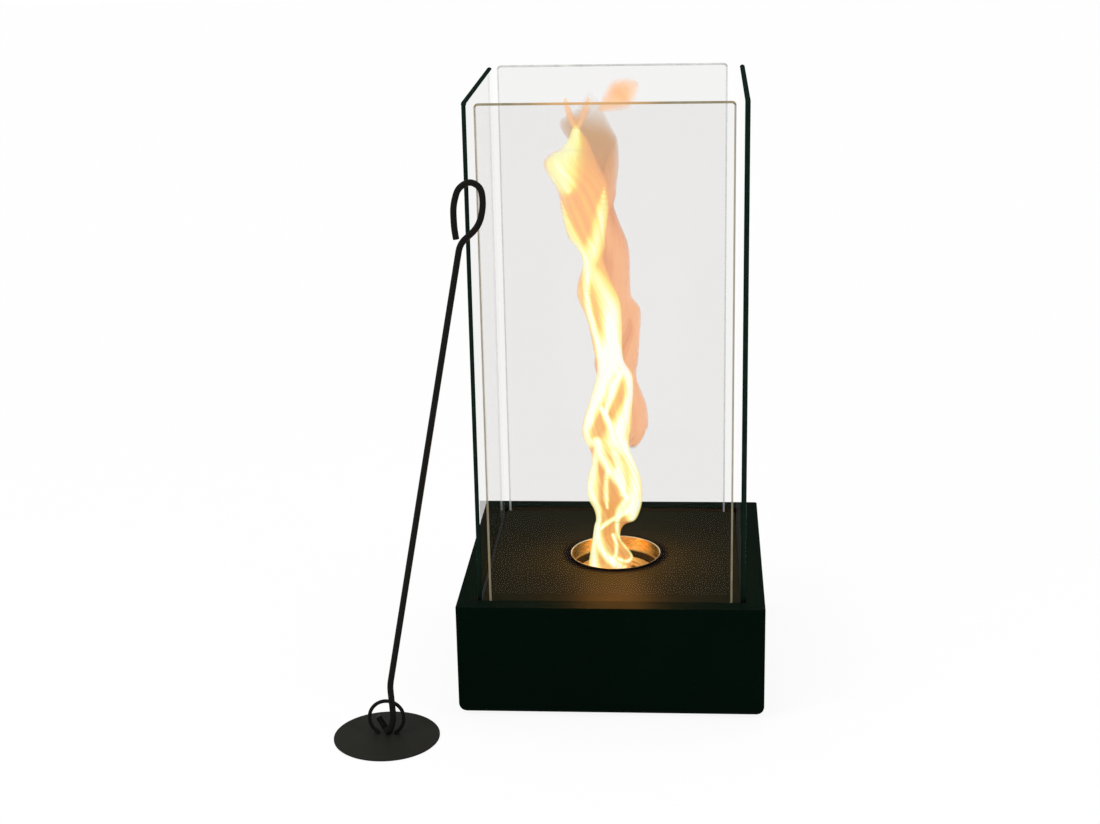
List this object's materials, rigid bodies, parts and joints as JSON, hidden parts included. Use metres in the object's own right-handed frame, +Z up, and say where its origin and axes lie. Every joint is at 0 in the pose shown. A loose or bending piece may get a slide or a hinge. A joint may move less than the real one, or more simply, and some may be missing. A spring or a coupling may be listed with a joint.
{
  "type": "bioethanol fireplace",
  "caption": "Square black bioethanol fireplace with loose glass walls, open at the corners, round a sunken burner, and a disc snuffer lifted by a long wire hook.",
  "frame": {"origin": "centre of the base, on the surface it stands on, at the underside of the floor pad", "axes": "+Z up, -Y towards the front pane, +X to the right when seen from the front"},
  "size_m": [0.4163, 0.3973, 0.6017],
  "materials": {
    "base_paint": "satin black powder coat with a faint green cast",
    "deck_paint": "matt black powder coat",
    "channel_paint": "matt black",
    "zinc_steel": "zinc plated",
    "clear_glass": "clear toughened glass with ground edges",
    "seat_rubber": "matt silicone strip",
    "pad_foam": "matt foam sheet",
    "burner_steel": "satin stainless",
    "can_steel": "satin stainless, warm from the flame",
    "ceramic_wool": "white ceramic fibre wool",
    "snuffer_paint": "matt dark grey powder coat"
  },
  "bodies": {
    "base": {"casing": "base_paint", "deck_plate": "deck_paint", "front_channel": "channel_paint", "right_channel": "channel_paint", "back_channel": "channel_paint", "left_channel": "channel_paint", "front_seat": "seat_rubber", "right_seat": "seat_rubber", "back_seat": "seat_rubber", "left_seat": "seat_rubber", "channel_clamps": "channel_paint", "clamp_nuts": "zinc_steel", "bottom_cover": "base_paint", "cover_screws": "zinc_steel", "floor_pad": "pad_foam"},
    "pane_front": {"glass_front": "clear_glass"},
    "pane_right": {"glass_right": "clear_glass"},
    "pane_back": {"glass_back": "clear_glass"},
    "pane_left": {"glass_left": "clear_glass"},
    "burner": {"burner_cup": "burner_steel"},
    "fuel_tin": {"fuel_can": "can_steel", "can_lid": "can_steel", "can_grate": "can_steel", "wool_pad": "ceramic_wool"},
    "snuffer_plate": {"snuffer_disc": "snuffer_paint", "snuffer_bail": "snuffer_paint"},
    "snuffer_handle": {"snuffer_hook": "snuffer_paint"}
  },
  "joints": [
    {"name": "glass_front_lift", "type": "slide", "parent": "base", "child": "pane_front", "axis": [0, 0, 1], "range_m": [0, 0.52]},
    {"name": "glass_right_lift", "type": "slide", "parent": "base", "child": "pane_right", "axis": [0, 0, 1], "range_m": [0, 0.52]},
    {"name": "glass_back_lift", "type": "slide", "parent": "base", "child": "pane_back", "axis": [0, 0, 1], "range_m": [0, 0.52]},
    {"name": "glass_left_lift", "type": "slide", "parent": "base", "child": "pane_left", "axis": [0, 0, 1], "range_m": [0, 0.52]},
    {"name": "burner_lift", "type": "slide", "parent": "base", "child": "burner", "axis": [0, 0, 1], "range_m": [0, 0.58]},
    {"name": "fuel_tin_lift", "type": "slide", "parent": "burner", "child": "fuel_tin", "axis": [0, 0, 1], "range_m": [0, 0.58]},
    {"name": "snuffer_lift", "type": "slide", "parent": "base", "child": "snuffer_plate", "axis": [0, 0, 1], "range_m": [0, 0.62]},
    {"name": "snuffer_handle_swing", "type": "hinge", "parent": "snuffer_plate", "child": "snuffer_handle", "pos_m": [-0.214, -0.197, 0.0048], "axis": [1, 0, 0], "range_deg": [0, 90]}
  ]
}
